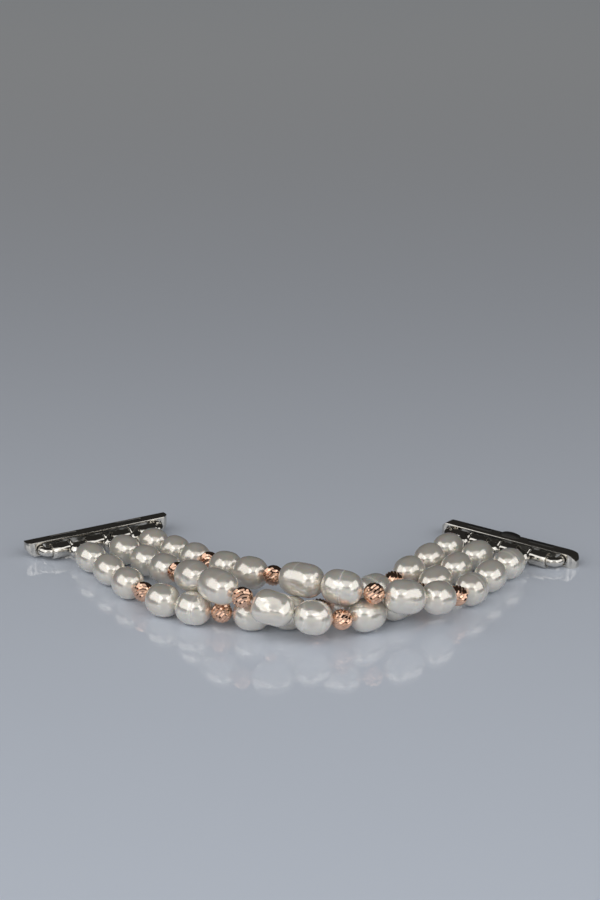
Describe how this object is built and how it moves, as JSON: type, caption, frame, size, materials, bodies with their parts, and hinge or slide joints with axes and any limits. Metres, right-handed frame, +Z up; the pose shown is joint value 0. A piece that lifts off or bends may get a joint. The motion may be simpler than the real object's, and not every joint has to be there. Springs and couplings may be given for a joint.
{
  "type": "pearl watch band",
  "caption": "Elastic watch band of three strands of freshwater pearls and faceted gold beads, hooked to a slide-in steel adapter at each end.",
  "frame": {"origin": "centre of the bounding box's base, on the table the band lies on", "axes": "+X from the left adapter to the right one along the band's widest extent, +Y away from the curve of pearls towards the adapters, +Z up from the table"},
  "size_m": [0.1076, 0.0574, 0.0122],
  "materials": {
    "nacre": "glossy warm-white nacre",
    "rose_gold": "polished rose gold with bright slanted cuts",
    "polished_steel": "polished, slightly warm",
    "spring_steel": "drawn wire",
    "black_rubber": "satin",
    "elastic_cord": "clear-white stretch cord"
  },
  "bodies": {
    "strands": {"cord_a": "elastic_cord", "cord_b": "elastic_cord", "cord_c": "elastic_cord", "metal_beads_a": "rose_gold", "metal_beads_b": "rose_gold", "metal_beads_c": "rose_gold", "pearl_a_3": "nacre", "pearl_a_4_5": "nacre", "pearl_a_6_7": "nacre", "pearl_a_8_9": "nacre", "pearl_a_10": "nacre", "pearl_b_3": "nacre", "pearl_b_4_5": "nacre", "pearl_b_6_7": "nacre", "pearl_b_8_9": "nacre", "pearl_b_10": "nacre", "pearl_c_3": "nacre", "pearl_c_4_5": "nacre", "pearl_c_6_7": "nacre", "pearl_c_8_9": "nacre", "pearl_c_10": "nacre"},
    "left_row_2": {"pearl_a_2": "nacre", "pearl_b_2": "nacre", "pearl_c_2": "nacre"},
    "left_row_1": {"pearl_a_1": "nacre", "pearl_b_1": "nacre", "pearl_c_1": "nacre"},
    "left_hooks": {"left_knot_cover_a": "polished_steel", "left_knot_cover_b": "polished_steel", "left_knot_cover_c": "polished_steel"},
    "left_adapter": {"left_adapter": "polished_steel", "left_bar": "polished_steel", "left_grip_pads": "black_rubber", "left_detent_spring": "spring_steel"},
    "left_detent": {"left_detent_button": "polished_steel"},
    "left_spacer_1": {"left_spacer_1": "polished_steel"},
    "left_spacer_2": {"left_spacer_2": "polished_steel"},
    "left_spacer_3": {"left_spacer_3": "polished_steel"},
    "left_spacer_4": {"left_spacer_4": "polished_steel"},
    "right_row_11": {"pearl_a_11": "nacre", "pearl_b_11": "nacre", "pearl_c_11": "nacre"},
    "right_row_12": {"pearl_a_12": "nacre", "pearl_b_12": "nacre", "pearl_c_12": "nacre"},
    "right_hooks": {"right_knot_cover_a": "polished_steel", "right_knot_cover_b": "polished_steel", "right_knot_cover_c": "polished_steel"},
    "right_adapter": {"right_adapter": "polished_steel", "right_bar": "polished_steel", "right_grip_pads": "black_rubber", "right_detent_spring": "spring_steel"},
    "right_detent": {"right_detent_button": "polished_steel"},
    "right_spacer_1": {"right_spacer_1": "polished_steel"},
    "right_spacer_2": {"right_spacer_2": "polished_steel"},
    "right_spacer_3": {"right_spacer_3": "polished_steel"},
    "right_spacer_4": {"right_spacer_4": "polished_steel"}
  },
  "joints": [
    {"name": "left_strand_bend", "type": "hinge", "parent": "strands", "child": "left_row_2", "pos_m": [-0.02784, 0.0018, 0.00335], "axis": [-0.8746, -0.4848, 0], "range_deg": [-20, 20], "deforming": ["cord_a", "cord_b", "cord_c"]},
    {"name": "left_row_bend", "type": "hinge", "parent": "left_row_2", "child": "left_row_1", "pos_m": [-0.03199, 0.00747, 0.0033], "axis": [-0.8746, -0.4848, 0], "range_deg": [-20, 20], "deforming": ["cord_a", "cord_b", "cord_c"]},
    {"name": "left_hook_bend", "type": "hinge", "parent": "left_row_1", "child": "left_hooks", "pos_m": [-0.03647, 0.01312, 0.00267], "axis": [-0.8746, -0.4848, 0], "range_deg": [-20, 20], "deforming": ["cord_a", "cord_b", "cord_c"]},
    {"name": "left_adapter_swing", "type": "hinge", "parent": "left_hooks", "child": "left_adapter", "pos_m": [-0.03857, 0.01737, 0.0019], "axis": [-0.8746, -0.4848, 0], "range_deg": [-90, 90]},
    {"name": "left_spacer_1_spin", "type": "hinge", "parent": "left_adapter", "child": "left_spacer_1", "pos_m": [-0.03857, 0.01737, 0.0019], "axis": [-0.8746, -0.4848, 0], "continuous": true},
    {"name": "left_spacer_2_spin", "type": "hinge", "parent": "left_adapter", "child": "left_spacer_2", "pos_m": [-0.03857, 0.01737, 0.0019], "axis": [-0.8746, -0.4848, 0], "continuous": true},
    {"name": "left_spacer_3_spin", "type": "hinge", "parent": "left_adapter", "child": "left_spacer_3", "pos_m": [-0.03857, 0.01737, 0.0019], "axis": [-0.8746, -0.4848, 0], "continuous": true},
    {"name": "left_spacer_4_spin", "type": "hinge", "parent": "left_adapter", "child": "left_spacer_4", "pos_m": [-0.03857, 0.01737, 0.0019], "axis": [-0.8746, -0.4848, 0], "continuous": true},
    {"name": "left_detent_press", "type": "slide", "parent": "left_adapter", "child": "left_detent", "axis": [0, 0, 1], "range_m": [0, 0.0005], "stiffness_N_per_m": 800, "deforming": ["left_detent_spring"]},
    {"name": "right_strand_bend", "type": "hinge", "parent": "strands", "child": "right_row_11", "pos_m": [0.02799, -0.00168, 0.003], "axis": [-0.8192, 0.5736, 0], "range_deg": [-20, 20], "deforming": ["cord_a", "cord_b", "cord_c"]},
    {"name": "right_row_bend", "type": "hinge", "parent": "right_row_11", "child": "right_row_12", "pos_m": [0.03202, 0.00452, 0.00334], "axis": [-0.8192, 0.5736, 0], "range_deg": [-20, 20], "deforming": ["cord_a", "cord_b", "cord_c"]},
    {"name": "right_hook_bend", "type": "hinge", "parent": "right_row_12", "child": "right_hooks", "pos_m": [0.03625, 0.01064, 0.00254], "axis": [-0.8192, 0.5736, 0], "range_deg": [-20, 20], "deforming": ["cord_a", "cord_b", "cord_c"]},
    {"name": "right_adapter_swing", "type": "hinge", "parent": "right_hooks", "child": "right_adapter", "pos_m": [0.03901, 0.01447, 0.0015], "axis": [-0.8192, 0.5736, 0], "range_deg": [-90, 90]},
    {"name": "right_spacer_1_spin", "type": "hinge", "parent": "right_adapter", "child": "right_spacer_1", "pos_m": [0.03901, 0.01447, 0.0015], "axis": [-0.8192, 0.5736, 0], "continuous": true},
    {"name": "right_spacer_2_spin", "type": "hinge", "parent": "right_adapter", "child": "right_spacer_2", "pos_m": [0.03901, 0.01447, 0.0015], "axis": [-0.8192, 0.5736, 0], "continuous": true},
    {"name": "right_spacer_3_spin", "type": "hinge", "parent": "right_adapter", "child": "right_spacer_3", "pos_m": [0.03901, 0.01447, 0.0015], "axis": [-0.8192, 0.5736, 0], "continuous": true},
    {"name": "right_spacer_4_spin", "type": "hinge", "parent": "right_adapter", "child": "right_spacer_4", "pos_m": [0.03901, 0.01447, 0.0015], "axis": [-0.8192, 0.5736, 0], "continuous": true},
    {"name": "right_detent_press", "type": "slide", "parent": "right_adapter", "child": "right_detent", "axis": [0, 0, -1], "range_m": [0, 0.0005], "stiffness_N_per_m": 800, "deforming": ["right_detent_spring"]}
  ]
}
